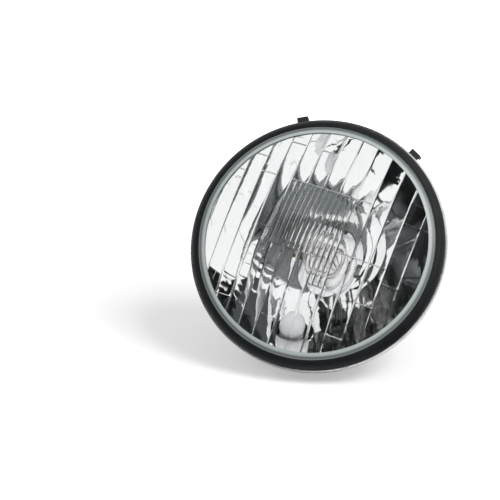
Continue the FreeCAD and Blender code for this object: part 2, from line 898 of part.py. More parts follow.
# Main bulb and the two leaf springs under its contacts
collar_front = face_y - size("bulb_collar_gauge")
base_chamfer = size("base_chamfer")
base_end = face_y + size("bulb_base_length")
keep("main_bulb_base", turned("main_bulb_base", [
    (dim(0), collar_front),
    (collar_radius, collar_front),
    (collar_radius, face_y),
    (base_radius, face_y),
    (base_radius, base_end - base_chamfer),
    (base_radius - base_chamfer, base_end),
    (dim(0), base_end),
]))
bulb_radius = size("bulb_radius")
glass_gauge = size("glass_gauge")
bulb_neck = size("bulb_neck_radius")
focus = vertex - focal_length


def bulb_outline(middle, radius, neck, end):
    """A thin globe with a straight neck, as an outline of (radius, back)."""
    inside = radius - glass_gauge
    throat = neck - glass_gauge
    return [
        (dim(0), middle - radius, radius, 1),
        (neck, middle + root(square(radius) - square(neck))),
        (neck, end),
        (throat, end),
        (throat, middle + root(square(inside) - square(throat)), inside, -1),
        (dim(0), middle - inside),
    ]


main_outline = bulb_outline(focus, bulb_radius, bulb_neck, collar_front)
keep("main_bulb_glass", turned("main_bulb_glass", main_outline))
lead_radius = size("lead_radius")
COILS = [
    ("main", size("main_coil_half"), focus, -size("main_coil_drop")),
    ("dip", size("dip_coil_half"), focus - size("dip_coil_lead"), size("dip_coil_rise")),
]
for tag, half, y, z in COILS:
    wires = [cross_rod(tag + "_coil", size("coil_radius"), 2 * half + 2 * lead_radius, 0, y, z)]
    for side, x in (("left", -half), ("right", half)):
        wires.append(rod(tag + "_wire_" + side, lead_radius, collar_front - y, Frame(x, y, z)))
    keep("bulb_%s_filament" % tag, fused("bulb_%s_filament" % tag, *wires))
contact_x = size("contact_spread")
contact_gauge = size("contact_gauge")
pad_height = size("pad_height")
pad_end = base_end + pad_height
leaf_front = pad_end + fit_gap
leaf_back = block_y - contact_gauge
for side, x in (("left", -contact_x), ("right", contact_x)):
    pad = "main_bulb_contact_" + side
    keep(pad, rod(pad, size("pad_radius"), pad_height, Frame(x, base_end, size("pad_rise"))))
    spring = "main_spring_" + side
    keep(spring, padded(spring, "YZ_Plane", [
        (leaf_back, -size("leaf_foot")),
        (leaf_back, -size("leaf_bend")),
        (leaf_front, dim(0)),
        (leaf_front, size("leaf_tip")),
        (leaf_front + contact_gauge, size("leaf_tip")),
        (leaf_front + contact_gauge, contact_gauge * 0.8),
        (block_y, contact_gauge * 0.8 - size("leaf_bend")),
        (block_y, -size("leaf_foot")),
    ], size("contact_width"), Frame(x, 0, 0)))

# Pilot ring on its collar, in the tilted frame of the pilot hole
ring_front = pilot_collar
ring_end = pilot_collar + size("pilot_ring_depth")
pilot_ring_radius = size("pilot_ring_radius")
pilot_base_radius = size("pilot_base_radius")
pilot_bore = pilot_base_radius + size("pilot_fit")
pin_radius = size("pin_radius")
pin_room = pin_radius + size("pin_play")
pin_tip = pilot_bore + size("pin_reach")
spigot_radius = pilot_radius - size("spigot_play")
pilot_chamfer = size("pilot_chamfer")
pilot_ring_body = turned("pilot_ring_body", [
    (pilot_bore, ring_front - size("pilot_spigot")),
    (spigot_radius, ring_front - size("pilot_spigot")),
    (spigot_radius, ring_front),
    (pilot_ring_radius, ring_front),
    (pilot_ring_radius, ring_end - pilot_chamfer),
    (pilot_ring_radius - pilot_chamfer, ring_end),
    (pilot_bore, ring_end),
], PILOT)
pin_seat_y = ring_front + size("pin_depth")
key_front = ring_front - 2 * size("pilot_spigot")
pin_slot = padded("pin_slot", "YZ_Plane", [
    (key_front, -pin_room),
    (pin_seat_y, -pin_room),
    (pin_seat_y, pin_room),
    (key_front, pin_room),
], 2 * pin_tip + 2 * size("pilot_fit"), PILOT)
key_slot = padded("key_slot", "YZ_Plane", [
    (key_front, -2 * pilot_ring_radius),
    (2 * ring_end, -2 * pilot_ring_radius),
    (2 * ring_end, -pilot_bore / 2),
    (key_front, -pilot_bore / 2),
], size("key_width"), PILOT)
contact_rivet_up = (pilot_ring_radius + pilot_bore) / 2
tongue_shank = size("tongue_rivet_radius")
rivet_at = pilot_at(key_front, contact_rivet_up)
rivet_hole = rod("rivet_hole", tongue_shank + fit_gap, 2 * ring_end, rivet_at)
keep("pilot_ring", cut("pilot_ring", pilot_ring_body, pin_slot, key_slot, rivet_hole))

# Pilot bulb: its cross pins sit on the floor of the ring's slots
base_front = pin_seat_y - size("pilot_base_front")
base_back = pin_seat_y + size("pilot_base_rear")
pilot_base_body = turned("pilot_base_body", [
    (dim(0), base_front),
    (pilot_base_radius, base_front),
    (pilot_base_radius, base_back - base_chamfer),
    (pilot_base_radius - base_chamfer, base_back),
    (dim(0), base_back),
], PILOT)
pin_spot_y, pin_spot_z = PILOT.point(pin_seat_y - pin_radius, dim(0))
cross_pin = cross_rod("cross_pin", pin_radius, 2 * pin_tip, 0, pin_spot_y, pin_spot_z)
keep("pilot_bulb_base", fused("pilot_bulb_base", pilot_base_body, cross_pin))
pilot_glass = size("pilot_glass_radius")
globe = base_front - size("pilot_globe_gap")
pilot_neck = size("pilot_neck_radius")
pilot_outline = bulb_outline(globe, pilot_glass, pilot_neck, base_front)
keep("pilot_bulb_glass", turned("pilot_bulb_glass", pilot_outline, PILOT))
pilot_wires = []
pilot_lead = size("pilot_lead_radius")
pilot_half = size("pilot_coil_half")
for side, x in (("left", -pilot_half), ("right", pilot_half)):
    pilot_wires.append(rod("pilot_wire_" + side, pilot_lead, base_front - globe, pilot_at(globe, 0, x)))
coil_y, coil_z = PILOT.point(globe, dim(0))
coil_length = 2 * pilot_half + 2 * pilot_lead
pilot_wires.append(cross_rod("pilot_coil", size("pilot_coil_radius"), coil_length, 0, coil_y, coil_z))
keep("pilot_bulb_filament", fused("pilot_bulb_filament", *pilot_wires))
pilot_tip = size("pilot_tip")
keep("pilot_bulb_tip", rod("pilot_bulb_tip", size("pilot_tip_radius"), pilot_tip, pilot_at(base_back)))

# Pilot contact tongue and its rivet
tip_end = base_back + pilot_tip + fit_gap
tongue_foot = pilot_ring_radius - pilot_chamfer
tongue_bend = size("tongue_bend")
bend_up = pilot_bore + size("tongue_gap")
tongue_tip = -size("tongue_tip")
tongue_plate = padded("tongue_plate", "YZ_Plane", [
    (ring_end, tongue_foot),
    (ring_end, bend_up + tongue_bend),
    (tip_end, bend_up),
    (tip_end, tongue_tip),
    (tip_end + contact_gauge, tongue_tip),
    (tip_end + contact_gauge, bend_up + tongue_bend),
    (ring_end + contact_gauge, bend_up + 2 * tongue_bend),
    (ring_end + contact_gauge, tongue_foot),
], size("tongue_width"), PILOT)
tongue_at = pilot_at(ring_end - contact_gauge, contact_rivet_up)
tongue_hole = rod("tongue_hole", tongue_shank + fit_gap, 3 * contact_gauge, tongue_at)
keep("pilot_contact", cut("pilot_contact", tongue_plate, tongue_hole))
tongue_head = size("tongue_rivet_head")
head_front = ring_end + contact_gauge
head_back = head_front + size("tongue_rivet_crown")
grip_front = ring_end - size("tongue_rivet_grip")
keep("pilot_contact_rivet", turned("pilot_contact_rivet", [
    (dim(0), grip_front),
    (tongue_shank, grip_front),
    (tongue_shank, head_front),
    (tongue_head, head_front),
    ((tongue_head + tongue_shank) / 2, head_back),
    (dim(0), head_back),
], pilot_at(0, contact_rivet_up)))

# Pilot bracket: a strip from the block's end to the back of the pilot ring, forked round the tongue
strip_bend = size("strip_bend")
bracket_tail = block_back - size("strip_margin")
bend_y = block_y - gauge
fork_up = contact_rivet_up + size("fork_room")
outer_bend = PILOT.point(ring_end, pilot_ring_radius + strip_bend)
inner_bend = PILOT.point(ring_end + gauge, pilot_ring_radius + strip_bend / 2)
strip_plate = padded("strip_plate", "YZ_Plane", [
    (bracket_tail, step),
    (bend_y, step),
    outer_bend,
    PILOT.point(ring_end, fork_up),
    PILOT.point(ring_end + gauge, fork_up),
    inner_bend,
    (bend_y - 0.3 * gauge, step - gauge),
    (bracket_tail, step - gauge),
], size("strip_width"))
fork_slot = padded("fork_slot", "YZ_Plane", [
    (ring_end - 2 * gauge, fork_up - 3 * gauge),
    (ring_end + 4 * gauge, fork_up - 3 * gauge),
    (ring_end + 4 * gauge, pilot_ring_radius + gauge / 5),
    (ring_end - 2 * gauge, pilot_ring_radius + gauge / 5),
], size("tongue_width") + 2 * size("fork_play"), PILOT)
loop_x = size("strip_width") / 2 + size("loop_offset")
loop = rod("loop", size("loop_radius"), gauge, Frame(loop_x, pin_y, step, tilt=DOWN))
loop_at = Frame(loop_x, pin_y, step + gauge, tilt=DOWN)
loop_hole = rod("loop_hole", size("loop_bore"), 3 * gauge, loop_at)
pin_hole = rod("pin_hole", strip_shank + fit_gap, 3 * gauge, Frame(0, pin_y, step + gauge, tilt=DOWN))
strip_loop = fused("strip_loop", strip_plate, loop)
keep("pilot_bracket", cut("pilot_bracket", strip_loop, fork_slot, loop_hole, pin_hole))
strip_bore = size("strip_eyelet_bore")
strip_head = size("strip_eyelet_head")
keep("pilot_bracket_eyelet", turned("pilot_bracket_eyelet", [
    (strip_bore, -strip_reach),
    (strip_shank, -strip_reach),
    (strip_shank, gauge),
    (strip_head, gauge),
    (strip_head, gauge + eyelet_roll),
    (strip_bore, gauge + eyelet_roll),
], Frame(0, pin_y, step, tilt=DOWN)))

doc.recompute()
for item in doc.Objects:
    bad = [state for state in item.State if state in ("Invalid", "Error")]
    if bad:
        raise RuntimeError("%s did not recompute: %s" % (item.Name, bad))
os.makedirs("parts", exist_ok=True)
for label, item in parts.items():
    if item.Shape.isNull() or not item.Shape.isValid():
        raise RuntimeError(label + " has no valid shape")
    item.Shape.exportStep("parts/%s.step" % label)
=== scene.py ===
"""Scooter headlight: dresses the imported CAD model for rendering.

The lens is rebuilt here as a fine mesh, the filaments as wound coils, and every
other piece keeps its CAD shape and gets a procedural finish.
"""

import math

import bmesh
import bpy
from mathutils import Euler, Matrix, Vector


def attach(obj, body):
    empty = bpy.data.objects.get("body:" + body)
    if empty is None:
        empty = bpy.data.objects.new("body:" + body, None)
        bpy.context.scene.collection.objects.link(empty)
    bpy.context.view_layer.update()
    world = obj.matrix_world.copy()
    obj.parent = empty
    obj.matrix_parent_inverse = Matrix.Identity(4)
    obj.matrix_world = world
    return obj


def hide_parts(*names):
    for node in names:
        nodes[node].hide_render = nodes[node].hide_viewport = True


bl_info = {
    "name": "Scooter headlight",
    "version": (1, 0, 0),
    "blender": (4, 5, 0),
    "location": "View3D > Sidebar > Headlight",
    "description": "Fluted lens, finishes and studio for a round scooter headlight",
    "category": "Object",
}

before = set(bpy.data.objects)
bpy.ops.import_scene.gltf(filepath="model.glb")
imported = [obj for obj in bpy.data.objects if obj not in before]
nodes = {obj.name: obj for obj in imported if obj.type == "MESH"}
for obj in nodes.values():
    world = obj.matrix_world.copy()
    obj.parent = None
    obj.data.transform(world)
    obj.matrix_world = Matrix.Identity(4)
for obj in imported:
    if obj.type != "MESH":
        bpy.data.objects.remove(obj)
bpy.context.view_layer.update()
MM = 0.001

# Rows of each flute column, as in the CAD model: heights of the steps in millimetres, from the top down.
FLUTE_STEPS = {
    -6: [26],
    -5: [37],
    -4: [28, -43.5],
    -3: [49, -1.5],
    -2: [28, -9],
    -1: [49, 28, -9],
    0: [28, -9],
    1: [28, -24],
    2: [28, -3, -24],
    3: [-3, -46],
    4: [-3, -25],
    5: [36, 24, -11],
    6: [24, -5],
}

# Columns with three fine flutes in one of their rows, and which row that is, from 0 at the top.
FINE_ROWS = {-2: 1, -1: 2, 0: 1, 1: 1}

# Corners of the window in the dark card before the lens, in millimetres across and up; the card is a
# painted reflection that only mirrors and glass see.
CARD_WINDOW = [
    (-68, 60),
    (-20, 62),
    (-6, 75),
    (-4, 140),
    (55, 140),
    (62, 75),
    (38, 45),
    (48, 15),
    (72, -10),
    (68, -45),
    (50, -62),
    (0, -66),
    (-12, -54),
    (-45, -47),
    (-64, -38),
    (-72, -10),
    (-66, 25),
]

# Corners of the dark card on the table, a painted shadow that only mirrors and glass see, in millimetres
# along the lamp's X and Y.
PAINTED_SHADOW_CARD = [
    (-70, -12),
    (62, -12),
    (74, 30),
    (700, 30),
    (700, -330),
    (110, -330),
    (95, -110),
    (-70, -100),
]

# Angle from which an edge of a CAD mesh is shaded as a corner.
CORNER = math.radians(28)

# Radii of the reflector, in metres: where the mirror ends, and where the flange's bright brim begins.
MIRROR_EDGE = 62.2 * MM
BRIM_EDGE = 69.0 * MM

# Places of the two soft lights, in metres to the camera's right, up and towards it, and their widths.
KEY_PLACE = (1.35, 1.5, 1.7)
KEY_WIDTH = 1.1
FILL_PLACE = (-0.9, 0.7, 0.6)
FILL_WIDTH = 0.8

# Half the table's width and its drop under the lamp, in metres.
TABLE_HALF = 6.0
TABLE_DROP = 0.5 * MM

# The table's white glow for the camera: it rises from the least share between two distances in metres.
GLOW_START = 0.25
GLOW_FULL = 0.6
GLOW_LEAST = 0.28


def length(name, default, description):
    return bpy.props.FloatProperty(
        name=name, description=description, default=default * MM, min=0.0, unit="LENGTH", precision=5
    )


def colour(name, default, description):
    return bpy.props.FloatVectorProperty(
        name=name, description=description, default=default, size=3, min=0.0, max=1.0, subtype="COLOR"
    )


def angle(name, degrees, description):
    default = math.radians(degrees)
    return bpy.props.FloatProperty(name=name, description=description, default=default, subtype="ANGLE")


def amount(name, default, description, high):
    return bpy.props.FloatProperty(name=name, description=description, default=default, min=0.0, max=high)


class HeadlightLens(bpy.types.PropertyGroup):
    """Sizes of the pressed glass lens."""

    radius: length("Lens radius", 66.5, "Outside radius of the glass")
    rim_width: length("Rim width", 4.5, "Width of the plain ground rim")
    rim_height: length("Rim height", 3.87, "Depth of the rim's outer edge")
    rear: length("Rear gap", 0.65, "Distance of the rim's back from the flange")
    dome_radius: length("Dome radius", 216.25, "Radius of the outer dome")
    wall: length("Wall", 4.0, "Thickness of the glass on the axis")
    pitch: length("Flute pitch", 9.4, "Width of one flute column")
    depth: length("Flute depth", 0.3, "Depth of a wide flute")
    fine_depth: length("Fine flute depth", 0.15, "Depth of the three fine flutes that share a column")
    land: length("Flute land", 0.5, "Width of the ridge left between flutes")
    crest: length("Ridge crest", 0.1, "Height of the rounded ridge between flutes")
    margin: length("Flute margin", 0.7, "Plain band between the flutes and the rim")
    frost: length("Frost overlap", 0.6, "How far the frosting of the rim reaches inwards past it")
    tint: colour("Glass tint", (0.993, 0.999, 0.997), "Colour that the glass lends to what is behind it")
    rim_tint: colour("Rim tint", (0.52, 0.58, 0.57), "Colour of the frosted rim")


class HeadlightFinish(bpy.types.PropertyGroup):
    """Colours of the lamp's finishes."""

    rubber: colour("Rubber", (0.0075, 0.009, 0.011), "Rim gasket")
    sealant: colour("Sealant", (0.9, 0.94, 0.92), "Bead under the lens")
    mirror: colour("Mirror", (0.985, 0.988, 0.992), "Inside of the reflector")
    lacquer: colour("Lacquer", (0.42, 0.43, 0.44), "Outside of the reflector")
    phosphate: colour("Phosphate", (0.03, 0.031, 0.026), "Top lugs")
    zinc: colour("Zinc", (0.68, 0.7, 0.72), "Plated steel")
    spring: colour("Spring steel", (0.07, 0.066, 0.035), "Neck clips")
    phenolic: colour("Moulding", (0.011, 0.011, 0.012), "Bulb holder")
    brass: colour("Brass", (0.72, 0.5, 0.16), "Eyelets and terminals")
    copper: colour("Copper", (0.6, 0.27, 0.12), "Contact springs")
    nickel: colour("Nickel", (0.93, 0.925, 0.91), "Bulb caps")
    bare: colour("Bare steel", (0.42, 0.42, 0.4), "Steel where a dark coat is rubbed off")
    tarnish: colour("Tarnish", (0.2, 0.11, 0.035), "Brown on the brass")
    bulb: colour("Bulb glass", (0.98, 0.985, 0.985), "Main bulb")
    frosting: colour("Frosting", (0.96, 0.96, 0.98), "Pilot bulb")
    filament: colour("Filament", (0.32, 0.32, 0.34), "Wound wire and its leads")
    solder: colour("Solder", (0.55, 0.55, 0.56), "Contacts of the bulbs")


class HeadlightStage(bpy.types.PropertyGroup):
    """Light, table and camera."""

    table: colour("Table", (0.93, 0.93, 0.93), "Table top")
    lean: angle("Table lean", 18, "Angle of the table below the line of sight")
    key: amount("Key light", 38.0, "Power of the soft light on the right", 200.0)
    fill: amount("Fill light", 1.0, "Power of the light on the upper left", 100.0)
    sky: amount("Sky", 0.5, "Strength of the even light from all sides", 5.0)
    focal: amount("Focal length", 105.34, "Focal length of the camera in millimetres", 500.0)
    distance: length("Distance", 800.0, "Camera's distance from the lamp")
    pitch: angle("Pitch", 100.535, "Camera's turn about the lamp's X, from looking straight down")
    roll: angle("Roll", -20.56, "Camera's turn about the lamp's Y")
    yaw: angle("Yaw", 10.091, "Camera's turn about the lamp's Z")
    pan: angle("Pan", 2.6, "How far the camera then looks to its left of the lamp")
    tilt: angle("Tilt", -0.269, "How far the camera then looks above the lamp")
    card_away: length("Card distance", 150.0, "Distance of the dark card from the flange")


class Wire:
    """An output socket that takes part in arithmetic; each sign adds a Math node."""

    def __init__(self, owner, socket):
        self.owner = owner
        self.socket = socket

    def math(self, operation, first, second):
        return self.owner.node("ShaderNodeMath", {"operation": operation}, {0: first, 1: second})

    def __add__(self, other):
        return self.math("ADD", self, other)

    def __radd__(self, other):
        return self.math("ADD", other, self)

    def __sub__(self, other):
        return self.math("SUBTRACT", self, other)

    def __rsub__(self, other):
        return self.math("SUBTRACT", other, self)

    def __mul__(self, other):
        return self.math("MULTIPLY", self, other)

    def __rmul__(self, other):
        return self.math("MULTIPLY", other, self)

    def __pow__(self, other):
        return self.math("POWER", self, other)

    def over(self, edge):
        return self.math("GREATER_THAN", self, edge)

    def larger(self, other):
        return self.math("MAXIMUM", self, other)


class NodeTree:
    """A shader tree whose nodes are added one by one, each handed back as a wire from an output."""

    def __init__(self, tree):
        self.tree = tree
        self.tree.nodes.clear()

    def node(self, kind, settings=None, inputs=None, out=0):
        """Adds a node, sets its settings, then its sockets' values or links."""
        made = self.tree.nodes.new(kind)
        for key, value in (settings or {}).items():
            setattr(made, key, value)
        self.fill(made, inputs or {})
        return Wire(self, made.outputs[out]) if made.outputs else None

    def fill(self, made, inputs):
        for key, value in inputs.items():
            socket = made.inputs[key]
            if isinstance(value, Wire):
                self.tree.links.new(value.socket, socket)
            elif isinstance(value, tuple) and len(value) == 3 and socket.type == "RGBA":
                socket.default_value = (*value, 1.0)
            else:
                socket.default_value = value

    def ray(self, kind):
        """What the light path says of a ray, such as whether it comes from the camera."""
        return self.node("ShaderNodeLightPath", out=kind)


class Finish(NodeTree):
    """A material built round a Principled shader."""

    def __init__(self, name):
        self.material = bpy.data.materials.new(name)
        self.material.use_nodes = True
        super().__init__(self.material.node_tree)
        self.output = self.tree.nodes.new("ShaderNodeOutputMaterial")
        self.shader = self.tree.nodes.new("ShaderNodeBsdfPrincipled")
        self.tree.links.new(self.shader.outputs[0], self.output.inputs["Surface"])

    def surface(self, **inputs):
        """Sets the Principled shader's sockets; underscores stand for spaces."""
        self.fill(self.shader, {key.replace("_", " "): value for key, value in inputs.items()})

    def spot(self, scale=(1.0, 1.0, 1.0)):
        """The point on the object in metres, stretched."""
        place = self.node("ShaderNodeTexCoord", out="Object")
        if scale == (1.0, 1.0, 1.0):
            return place
        return self.node("ShaderNodeVectorMath", {"operation": "MULTIPLY"}, {0: place, 1: scale})

    def split(self, vector, axis):
        return self.node("ShaderNodeSeparateXYZ", {}, {0: vector}, out=axis)

    def noise(self, size, detail, stretch=(1.0, 1.0, 1.0)):
        """Noise between 0 and 1 whose blotches are about size millimetres across."""
        inputs = {"Vector": self.spot(stretch), "Scale": 1.0 / (size * MM), "Detail": detail}
        return self.node("ShaderNodeTexNoise", {}, {**inputs, "Roughness": 0.55})

    def radius(self):
        """Distance from the lamp's axis in metres."""
        place = self.spot()
        return (self.split(place, "X") ** 2.0 + self.split(place, "Z") ** 2.0) ** 0.5

    def rings(self, step):
        """Uneven lines round the lamp's axis, about step millimetres apart."""
        line = self.node("ShaderNodeCombineXYZ", {}, {0: self.radius()})
        inputs = {"Vector": line, "Scale": 1.0 / (step * MM), "Detail": 3.0}
        return self.node("ShaderNodeTexNoise", {}, inputs)

    def mix(self, share, other):
        """Mixes another shader over the Principled one."""
        own = Wire(self, self.shader.outputs[0])
        mixed = self.node("ShaderNodeMixShader", {}, {0: share, 1: own, 2: other})
        self.tree.links.new(mixed.socket, self.output.inputs["Surface"])

    def span(self, wire, low, high, start=0.0, end=1.0):
        """Stretches low..high to start..end and holds it there."""
        inputs = {"Value": wire, "From Min": low, "From Max": high, "To Min": start, "To Max": end}
        return self.node("ShaderNodeMapRange", {"clamp": True}, inputs)

    def band(self, wire, low, high):
        """1 between two places in metres, with soft ends."""
        soft = 0.015
        return self.span(wire, low, low + soft) * self.span(wire, high, high - soft)

    def blend(self, share, first, second):
        inputs = {"Factor": share, 6: first, 7: second}
        return self.node("ShaderNodeMix", {"data_type": "RGBA"}, inputs, out=2)

    def bump(self, height, strength, depth):
        inputs = {"Height": height, "Strength": strength, "Distance": depth * MM}
        return self.node("ShaderNodeBump", {}, inputs)

    def edges(self, width):
        """About 1 within width millimetres of an edge, where handling rubs the finish."""
        soft = self.node("ShaderNodeBevel", {"samples": 4}, {"Radius": width * MM})
        sharp = self.node("ShaderNodeNewGeometry", out="Normal")
        dot = {"operation": "DOT_PRODUCT"}
        match = self.node("ShaderNodeVectorMath", dot, {0: soft, 1: sharp}, out="Value")
        return self.span(match, 0.97, 0.8)


def shade(value, factor):
    return tuple(min(1.0, part * factor) for part in value)


def glass(name, tint, waves, streak, gleam):
    """Clear glass with a little swirl in it; gleam weakens what its skin mirrors head on."""
    skin = Finish(name)
    swirl = skin.noise(9.0, 2.0, (1.0, 1.0, streak))
    cloud = skin.noise(30.0, 3.0)
    dust = skin.span(skin.noise(1.6, 6.0), 0.62, 0.8)
    skin.surface(
        Base_Color=skin.blend(cloud, tint, shade(tint, 1.03)),
        Roughness=dust * 0.05,
        Transmission_Weight=1.0,
        IOR=1.5,
        Specular_Tint=(gleam, gleam, gleam),
        Normal=skin.bump(swirl, 0.25, waves),
    )
    return skin


def frosted(name, tone):
    """Glass frosted white on its inside, smooth outside."""
    skin = Finish(name)
    cloud = skin.noise(4.0, 3.0)
    skin.surface(
        Base_Color=skin.blend(cloud, shade(tone, 0.94), tone),
        Roughness=0.45 + 0.15 * cloud,
        Coat_Weight=0.6,
        Coat_Roughness=0.03,
    )
    return skin.material


def ground_rim(skin, tone, inside):
    """Frosts a lens outside a radius, where its seat was ground; painted shade darkens the rim towards the
    gasket, less on its outermost edge, which is a painted highlight.
    """
    wave = skin.noise(3.0, 4.0)
    out = skin.radius()
    body = skin.blend(wave, shade(tone, 0.9), shade(tone, 1.1))
    # Painted shade: the frosted rim is darkened towards the gasket.
    painted_shade = skin.span(out, inside + 1.5 * MM, inside + 2.5 * MM)
    # Painted highlight: the outermost edge is darkened less, as if its bevel caught the light.
    edge = skin.span(out, inside + 3.3 * MM, inside + 3.6 * MM)
    frost = skin.node(
        "ShaderNodeBsdfPrincipled",
        {},
        {
            "Base Color": skin.blend(painted_shade * (1.0 - 0.6 * edge), body, shade(tone, 0.35)),
            "Roughness": 0.3 + 0.2 * wave,
            "Coat Weight": 0.4,
            "Coat Roughness": 0.08,
        },
    )
    skin.mix(skin.span(out, inside, inside + 0.3 * MM), frost)


def rubber(name, tone):
    """Moulded rubber: fine grain, a grey bloom and paler rubbed edges."""
    skin = Finish(name)
    grain = skin.noise(0.5, 5.0)
    bloom = skin.span(skin.noise(14.0, 5.0), 0.45, 0.75)
    body = skin.blend(bloom * 0.3, tone, shade(tone, 2.4))
    rubbed = skin.blend(skin.edges(0.4) * 0.4, body, shade(tone, 3.0))
    skin.surface(
        Base_Color=rubbed,
        Roughness=0.5 + 0.2 * bloom + 0.08 * grain,
        Specular_IOR_Level=0.3,
        Normal=skin.bump(grain, 0.25, 0.05),
    )
    return skin.material


def mirror(name, bright, lacquer):
    """Vacuum-coated mirror where the sheet faces forward, sprayed silver lacquer behind."""
    skin = Finish(name)
    normal = skin.node("ShaderNodeTexCoord", out="Normal")
    out = skin.radius()
    front = skin.span(skin.split(normal, "Y"), 0.02, -0.02) * (1.0 - out.over(MIRROR_EDGE))
    behind = 1.0 - front
    haze = skin.span(skin.noise(6.0, 5.0), 0.5, 0.8)
    spray = skin.noise(0.35, 3.0)
    drift = skin.noise(18.0, 4.0)
    spun = skin.span(skin.rings(1.3), 0.3, 0.7)
    smear = skin.span(skin.noise(11.0, 6.0, (1.0, 1.0, 2.5)), 0.5, 0.7)
    brim = out.over(BRIM_EDGE)
    outside = skin.blend(0.55 * drift + 0.45 * spun, shade(lacquer, 0.7), shade(lacquer, 1.25))
    rolled = skin.blend(brim, outside, shade(bright, 0.85))
    skin.surface(
        Base_Color=skin.blend(front, rolled, skin.blend(haze, bright, shade(bright, 0.97))),
        Metallic=0.45 + 0.55 * front + 0.5 * brim,
        Roughness=(0.26 + 0.1 * spray + 0.14 * smear - 0.08 * brim) * behind + (0.02 + 0.05 * haze) * front,
        Normal=skin.bump((spray + 0.8 * spun) * behind * (1.0 - 0.8 * brim), 0.3, 0.05),
    )
    return skin.material


def plated(name, tone, rough, brushed=(1.0, 1.0, 1.0), dull=0.6, patchy=0.16):
    """Plated sheet metal with rolling lines, cloudy dull patches and bright edges."""
    skin = Finish(name)
    lines = skin.noise(0.6, 4.0, brushed)
    cloud = skin.span(skin.noise(7.0, 5.0), 0.4, 0.7)
    body = skin.blend(cloud, tone, shade(tone, dull))
    skin.surface(
        Base_Color=skin.blend(skin.edges(0.25) * 0.6, body, shade(tone, 1.2)),
        Metallic=1.0,
        Roughness=rough + patchy * (cloud + 0.6 * lines),
        Normal=skin.bump(lines, patchy, 0.03),
    )
    return skin.material


def tarnished(name, tone, brown, share):
    """Brass or copper with brown tarnish that stays off the edges."""
    skin = Finish(name)
    cloud = skin.span(skin.noise(3.0, 6.0), 0.38, 0.7)
    lines = skin.noise(0.4, 3.0, (1.0, 1.0, 6.0))
    clean = 1.0 - skin.edges(0.3)
    skin.surface(
        Base_Color=skin.blend(cloud * clean * share, tone, brown),
        Metallic=1.0,
        Roughness=0.22 + 0.25 * cloud + 0.08 * lines,
        Normal=skin.bump(lines, 0.15, 0.02),
    )
    return skin.material


def coated(name, tone, bare, rough, wear_and_painted_reflection):
    """Dark phosphate or oil-blacked steel, rubbed to metal on its edges."""
    skin = Finish(name)
    grain = skin.noise(0.3, 4.0)
    cloud = skin.noise(4.0, 5.0)
    rub = skin.edges(0.2) * skin.span(cloud, 0.4, 0.7)
    body = skin.blend(cloud, shade(tone, 0.75), shade(tone, 1.5))
    skin.surface(
        Base_Color=skin.blend(rub * wear_and_painted_reflection, body, bare),
        Metallic=0.35 + 0.65 * rub,
        Roughness=rough + 0.15 * grain - 0.15 * rub,
        Normal=skin.bump(grain, 0.3, 0.03),
    )
    return skin.material


def moulded(name, tone, rough, speck):
    """Hard black moulding: slight orange peel, fine filler specks and greyed edges."""
    skin = Finish(name)
    peel = skin.noise(1.6, 2.0)
    filler = skin.span(skin.noise(0.22, 2.0), 0.66, 0.78)
    dusty = skin.span(skin.noise(9.0, 5.0), 0.45, 0.75)
    body = skin.blend(filler * speck, skin.blend(dusty * 0.6, tone, shade(tone, 2.8)), shade(tone, 9.0))
    skin.surface(
        Base_Color=skin.blend(skin.edges(0.35) * 0.6, body, shade(tone, 7.0)),
        Roughness=rough + 0.22 * dusty + 0.06 * peel,
        Specular_IOR_Level=0.5,
        Normal=skin.bump(peel, 0.2, 0.06),
    )
    return skin.material


def sealed(name, tone):
    """Pale sealant bead with a wavy, slightly glossy skin."""
    skin = Finish(name)
    wave = skin.noise(2.5, 3.0)
    skin.surface(
        Base_Color=skin.blend(wave, shade(tone, 0.8), shade(tone, 1.15)),
        Roughness=0.4 + 0.2 * wave,
        Normal=skin.bump(wave, 0.4, 0.2),
    )
    return skin.material


def dress(material, *names):
    """Gives CAD nodes a finish and smooth shading with crisp corners."""
    for name in names:
        mesh = nodes[name].data
        mesh.materials.clear()
        mesh.materials.append(material)
        mesh.shade_smooth()
        mesh.set_sharp_from_angle(angle=CORNER)


def add_piece(name, verts, faces, material, slot, *replaced, sharp):
    """Makes a mesh piece that rides on the lamp and stands for CAD nodes."""
    mesh = bpy.data.meshes.new(name)
    mesh.from_pydata(verts, [], faces)
    mesh.validate()
    mesh.materials.append(material)
    mesh.shade_smooth()
    mesh.set_sharp_from_angle(angle=math.radians(sharp))
    piece = bpy.data.objects.new(name, mesh)
    bpy.context.scene.collection.objects.link(piece)
    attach(piece, "root")
    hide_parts(*replaced)
    return piece


def tube(path, radius, sides, verts, faces):
    """Adds a closed tube along a path of points."""
    start = len(verts)
    count = len(path)
    for index, point in enumerate(path):
        along = (path[min(index + 1, count - 1)] - path[max(index - 1, 0)]).normalized()
        across = along.orthogonal() if index == 0 else across - along * across.dot(along)
        across.normalize()
        other = along.cross(across)
        for side in range(sides):
            angle = 2 * math.pi * side / sides
            verts.append(point + radius * (math.cos(angle) * across + math.sin(angle) * other))
    for index in range(count - 1):
        for side in range(sides):
            low = start + index * sides
            after = (side + 1) % sides
            faces.append((low + side, low + after, low + sides + after, low + sides + side))
    faces.append(tuple(range(start + sides - 1, start - 1, -1)))
    faces.append(tuple(range(start + (count - 1) * sides, start + count * sides)))


